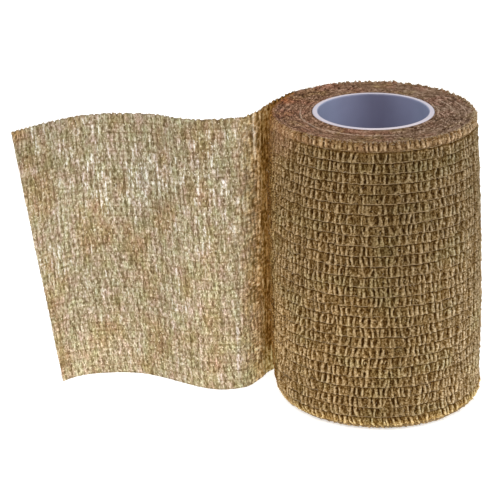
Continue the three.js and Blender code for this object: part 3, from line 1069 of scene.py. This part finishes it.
def catmull_rom(points, samples):
    """A centripetal curve through the points, as many samples on each stretch."""
    ends = [2 * points[0] - points[1], 2 * points[-1] - points[-2]]
    p = np.concatenate([[ends[0]], points, [ends[1]]])
    t = np.linspace(0, 1, samples, endpoint=False)[:, None]
    out = []
    for i in range(1, len(p) - 2):
        d0, d1, d2 = (np.sqrt(np.linalg.norm(p[j + 1] - p[j])) for j in (i - 1, i, i + 1))
        m1 = ((p[i] - p[i - 1]) / d0 - (p[i + 1] - p[i - 1]) / (d0 + d1) + (p[i + 1] - p[i]) / d1) * d1
        m2 = ((p[i + 1] - p[i]) / d1 - (p[i + 2] - p[i]) / (d1 + d2) + (p[i + 2] - p[i + 1]) / d2) * d1
        a, b = p[i], p[i + 1]
        out.append(
            (2 * t**3 - 3 * t**2 + 1) * a + (t**3 - 2 * t**2 + t) * m1
            + (-2 * t**3 + 3 * t**2) * b + (t**3 - t**2) * m2
        )
    out.append(points[-1:])
    return np.concatenate(out)


def level_path(level):
    """The middle of the loose end at one level, 0 at the floor edge and 1 at the top edge."""
    z = lerp(RIM_ROUNDING["bottom"], WIDTH - RIM_ROUNDING["top"], level)
    start = []
    for degrees, out, height in ((-4.0, -0.35, 75.0), (0.5, -0.1, 75.2)):
        angle = DEPARTURE_ANGLE + math.radians(degrees)
        radius = envelope_radius(angle, 0.5, z) + out
        start.append([centre_x(z) + radius * math.cos(angle), radius * math.sin(angle), height * level])
    folds = [
        [fold["x"], lerp(fold["floor_y"], fold["top_y"], level), fold["height"] * level]
        for fold in LOOSE_END_FOLDS
    ]
    path = catmull_rom(np.array(start + folds), 24)
    cut = lerp(CUT_X["floor"], CUT_X["top"], level)
    keep = np.argmax(path[:, 0] <= cut)
    last = path[keep - 1] + (path[keep] - path[keep - 1]) * (
        (cut - path[keep - 1, 0]) / (path[keep, 0] - path[keep - 1, 0])
    )
    return np.concatenate([path[:keep], last[None]])


def loose_end_grid(stations, levels):
    """Points, side directions and distances along the cloth on a grid of levels and stations."""
    places, sides, along = [], [], []
    for level in np.linspace(0, 1, levels):
        path = level_path(level)
        reach = np.concatenate([[0], np.cumsum(np.linalg.norm(np.diff(path, axis=0), axis=1))])
        where = np.linspace(0, reach[-1], stations)
        spot = np.stack([np.interp(where, reach, path[:, k]) for k in range(3)], -1)
        tangent = np.gradient(spot, axis=0)
        side = np.stack([tangent[:, 1], -tangent[:, 0], 0 * tangent[:, 0]], -1)
        sides.append(side / np.linalg.norm(side, axis=1)[:, None])
        places.append(spot)
        along.append(where)
    return np.stack(places), np.stack(sides), np.stack(along)


def loose_relief(along, up, heights, tones):
    """Values of the loose end by name: crest, painted shade, thin pale places, brown root, and tone with
    painted light and shade.
    """
    u, v = along / LOOSE_STRIP_LENGTH, up / WIDTH
    column = np.clip(along / LOOSE_STRIP_LENGTH * heights.shape[1], 0, heights.shape[1] - 1).astype(int)
    level = np.arange(heights.shape[0])[:, None]
    folds, tone = heights[level, column], tones[level, column]
    on_thread = (level % len(LOOSE_LEVEL_SHARES) == 0) * 1.0
    fine = smooth_noise(u, v, 340, 135, 44)
    beads = smooth_noise(u, v, 150, 58, 45)
    crest = np.clip((0.1 + 0.8 * folds) * (1 - 0.12 * on_thread) + 0.1 * fine + 0.1 * beads, 0, 1)
    # Painted shade from the crinkles: lighter on their crests, darker in their hollows
    shade = np.clip(0.25 + 0.3 * crest + 0.5 * cavity(crest, 3, 1) + 0.07 * tone, 0, 1.1)
    root = smoothstep(ROOT_LENGTH + 2, 12, along + 2 * beads)
    clouds = noise_sum(LOOSE_END_CLOUDS, u, v)
    lift = np.ones((*along.shape, 3))
    for spot in PALE_PLACES:
        away = ((along - spot["along"]) / spot["width"]) ** 2 + ((up - spot["height"]) / spot["reach"]) ** 2
        clouds = clouds + spot["strength"] * np.exp(-away)
        if spot["width"] < STREAK_WIDTH:
            lift = lift + np.exp(-away)[..., None] * np.array(STREAK_LIFT)
    pale = smoothstep(0.0, 0.9, clouds + 0.6 * tone) * (1 - 0.7 * root)
    # Painted light and shade by height, lighter still low down near the roll, with a random tone
    brightness = np.interp(up, LOOSE_PAINTED_LIGHT_BY_HEIGHT["height"], LOOSE_PAINTED_LIGHT_BY_HEIGHT["share"])
    brightness = brightness * (1 + 0.12 * smooth_noise(u, v, 6, 3, 48))
    brightness = brightness * (1 + 0.1 * smoothstep(45, 22, along) * smoothstep(0.7, 0.1, v))
    # Painted shade in the crease where the loose end meets the roll, and painted light just past it
    tint = tint_at(ROOT_PAINTED_SHADE_AND_LIGHT, "along", along + 0.6 * beads)
    low = smoothstep(16, 12, along) * smoothstep(0.12, 0.02, v)
    tint = lerp(tint, np.array(LOW_CORNER), low[..., None])
    under = smoothstep(28, 20, along) * smoothstep(0.2, 0.04, v) * (1 - low)
    tint = tint * lerp(1, np.array(LOW_EDGE), under[..., None])
    shadow = smoothstep(0.34, 0.24, v) * smoothstep(13.2, 14.6, along) * smoothstep(18.2, 16.4, along)
    tint = tint * (1 - 0.2 * shadow[..., None])
    corner = smoothstep(7, 1, along[:, -1:] - along) * smoothstep(0.9, 0.99, v)
    tint = tint * lerp(1, np.array(CORNER_STAIN), corner[..., None])
    tone = brightness[..., None] * tint * lift
    return {"crest": crest, "relief": shade, "pale": pale, "root": root, "tone": tone}


def build_loose_end(material):
    levels = ROW_COUNT * len(LOOSE_LEVEL_SHARES) + 1
    spot, side, along = loose_end_grid(LOOSE_STATIONS, levels)
    folds, tones = crinkle(LOOSE_END_CRINKLE, ROW_COUNT, 480, LOOSE_STRIP_LENGTH, LOOSE_LEVEL_SHARES, 81)
    folds = folds.reshape(-1, folds.shape[-1])
    folds = np.concatenate([folds, folds[-1:]])
    tones = np.repeat(tones, len(LOOSE_LEVEL_SHARES), axis=0)
    tones = np.concatenate([tones, tones[-1:]])
    relief = loose_relief(along, spot[..., 2], folds, tones)
    crest = relief.pop("crest")
    calm = smoothstep(0, 4, along)
    middle = spot + side * (0.36 * (crest - 0.55) * calm)[..., None]
    half = LOOSE_HALF_THICKNESS * (0.7 + 0.6 * crest)
    front = middle + side * half[..., None]
    back = middle - side * half[..., None]
    fray = 0.45 * (crest[[0, -1]] - 0.5)
    for face in (front, back):
        face[0, :, 2] += np.maximum(fray[0], -0.1) * -0.6
        face[-1, :, 2] += fray[1]
    axis = np.array([AXIS_X, AXIS_Y, 0])
    points = np.concatenate([(front + axis).reshape(-1, 3), (back + axis).reshape(-1, 3)])
    points[:, 2] = np.clip(points[:, 2], 0.02, None)
    count = LOOSE_STATIONS * levels
    index = np.arange(count).reshape(levels, LOOSE_STATIONS)
    a, b, c, d = index[:-1, :-1], index[:-1, 1:], index[1:, 1:], index[1:, :-1]
    front_faces = np.stack([d, c, b, a], -1).reshape(-1, 4)
    back_faces = np.stack([a, b, c, d], -1).reshape(-1, 4) + count
    border = np.concatenate([index[0, :-1], index[:-1, -1], index[-1, :0:-1], index[:0:-1, 0]])
    following = np.roll(border, -1)
    rim_faces = np.stack([border, following, following + count, border + count], -1)
    faces = np.concatenate([front_faces, back_faces, rim_faces])
    row = np.broadcast_to(np.linspace(0, ROW_COUNT, levels)[:, None], along.shape)
    bunched = along + 0.45 * (ROOT_LENGTH - along) * smoothstep(ROOT_LENGTH, 16, along)
    cloth = np.stack([bunched, spot[..., 2], row], -1).reshape(-1, 3)
    values = {"cloth": np.tile(cloth, (2, 1))}
    for label, array in relief.items():
        shown = array.reshape(count, -1) if array.ndim == 3 else array.ravel()
        values[label] = np.concatenate([shown, shown])
    edges = points.reshape(2, levels, LOOSE_STATIONS, 3)
    return make_mesh("loose_end_cloth", points, faces, values, material), edges


# Loose fibres: closed spikes of ten triangles that stand out from the rims and the edges

FIBRE_FACES = np.array([
    [0, 2, 1], [0, 1, 4], [0, 4, 3], [1, 2, 5], [1, 5, 4],
    [2, 0, 3], [2, 3, 5], [3, 4, 6], [4, 5, 6], [5, 3, 6],
])
FIBRE_RADIUS = 0.055
WOUND_FIBRES = {"side": 1300, "rim": 900, "foot": 350}
LOOSE_FIBRES = {"top": 380, "floor": 300, "cut": 170}


def make_fibres(name, starts, ways, lengths, material, seed):
    """Fibres from these points, each the way of its own vector, bent a little at its middle."""
    rng = np.random.default_rng(SEED + seed)
    ways = ways / np.linalg.norm(ways, axis=1)[:, None]
    first = np.cross(ways, rng.normal(0, 1, ways.shape))
    first /= np.linalg.norm(first, axis=1)[:, None]
    second = np.cross(ways, first)
    turn = np.arange(3) / 3 * TAU
    ring = FIBRE_RADIUS * (np.cos(turn)[:, None] * first[:, None] + np.sin(turn)[:, None] * second[:, None])
    reach = (ways * lengths[:, None])[:, None]
    bend = (first * (lengths * rng.uniform(0, 0.35, len(lengths)))[:, None])[:, None]
    base = starts[:, None] + ring
    middle = starts[:, None] + 0.5 * reach + bend + 0.8 * ring
    tip = starts[:, None] + reach
    points = np.concatenate([base, middle, tip], 1)
    faces = FIBRE_FACES + 7 * np.arange(len(starts))[:, None, None]
    return make_mesh(name, points.reshape(-1, 3), faces.reshape(-1, 3), None, material)


def build_wound_fibres(material, surface, angle):
    """Fibres on the crinkled side, many of them on its top rim."""
    rng = np.random.default_rng(SEED + 91)
    top = len(surface["z"]) - len(LIP_STEPS) - 1
    rings = np.concatenate([
        rng.integers(4, top, WOUND_FIBRES["side"]),
        top + rng.integers(-2, 3, WOUND_FIBRES["rim"]),
        rng.integers(1, 8, WOUND_FIBRES["foot"]),
    ])
    columns = rng.integers(0, len(angle), len(rings))
    felted_rim = (rings >= top - 8) & (columns < 0.24 * len(angle))
    columns = np.where(felted_rim, len(angle) - 1 - columns * 2, columns)
    z, radius = surface["z"][rings, columns], surface["radius"][rings, columns]
    turn = angle[columns]
    starts = on_roll(radius - 0.1, turn, z, centre_x(z))
    outward = np.stack([np.cos(turn), np.sin(turn), 0 * turn], -1)
    around = np.stack([-np.sin(turn), np.cos(turn), 0 * turn], -1)
    upward = np.where(rings >= top - 2, rng.uniform(0, 1.6, len(rings)), rng.normal(0, 1, len(rings)))
    ways = outward + around * rng.normal(0, 1, len(rings))[:, None] + upward[:, None] * np.array([0, 0, 1])
    return make_fibres("wound_fibres", starts, ways, rng.uniform(0.4, 1.0, len(rings)), material, 92)


def build_loose_fibres(material, points, levels):
    """Fibres on the edges of the loose end; points is its front and back by level and station."""
    rng = np.random.default_rng(SEED + 93)
    top, floor, cut = LOOSE_FIBRES.values()
    count = top + floor + cut
    level = np.concatenate([np.full(top, levels - 1), np.full(floor, 0), rng.integers(0, levels, cut)])
    station = rng.integers(20, LOOSE_STATIONS, top + floor)
    station = np.concatenate([station, np.full(cut, LOOSE_STATIONS - 1)])
    starts = points[:, level, station].mean(axis=0)
    rise = np.concatenate([np.full(top, 1.0), np.full(floor, -1.0), rng.normal(0, 0.8, cut)])
    out = np.concatenate([rng.normal(0, 0.8, top + floor), np.full(cut, -1.0)])
    ways = np.stack([out, rng.normal(0, 0.4, count), rise], -1)
    starts = starts - 0.1 * ways
    lengths = rng.uniform(0.35, 0.8, count)
    lengths = np.where(rise < -0.5, np.minimum(lengths, 0.1 + starts[:, 2] * 0.8), lengths)
    return make_fibres("loose_fibres", starts, ways, lengths, material, 94)


# Floor and light


def build_floor(material):
    size = 3000.0
    points = np.array([[-size, -size, 0], [size, -size, 0], [size, size, 0], [-size, size, 0]], float)
    floor = make_mesh("floor", points, np.array([[0, 1, 2, 3]]), None, material, smooth=False)


def add_area_light(name, place, size, power, colour=(1, 1, 1)):
    data = bpy.data.lights.new(name, "AREA")
    data.shape = "RECTANGLE"
    data.size, data.size_y = size
    data.energy = power
    data.color = colour
    light = bpy.data.objects.new(name, data)
    target = Vector((0, 0, 0.04))
    light.location = place
    light.rotation_euler = (light.location - target).to_track_quat("Z", "Y").to_euler()
    bpy.context.scene.collection.objects.link(light)


def set_light():
    world = bpy.data.worlds.new("studio")
    world.use_nodes = True
    background = world.node_tree.nodes["Background"]
    background.inputs["Color"].default_value = (1, 1, 1, 1)
    background.inputs["Strength"].default_value = 0.8
    bpy.context.scene.world = world
    add_area_light("key", (-0.25, -0.75, 0.7), (0.4, 0.4), 6.0)
    add_area_light("fill", (0.6, -0.5, 0.5), (0.5, 0.5), 3.0)
    bpy.context.scene.view_settings.view_transform = "Standard"
    bpy.context.scene.view_settings.look = "None"


def dress(piece, node):
    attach(piece, "root")
    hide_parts(node)


set_camera()
side_pieces, side_values, side_angle = build_side(side_cloth())
edge_material = edge_cloth()
fibre_material = fibre_cloth()
wound_pieces = [
    *side_pieces,
    build_threads(thread_cloth(), side_values),
    build_wound_fibres(fibre_material, side_values, side_angle),
    build_end_face("wound_edges_top", edge_material, 560, 90, True, 61),
    build_end_face("wound_edges_base", edge_material, 320, 34, False, 71),
]
for wound_piece in wound_pieces:
    dress(wound_piece, "wound_roll")
dress(build_core(core_plastic()), "core_tube")

loose_end, loose_end_points = build_loose_end(sheer_cloth())
loose_fibres = build_loose_fibres(fibre_material, loose_end_points, loose_end_points.shape[1])
dress(loose_end, "loose_end")
dress(loose_fibres, "loose_end")

build_floor(floor_white())
set_light()
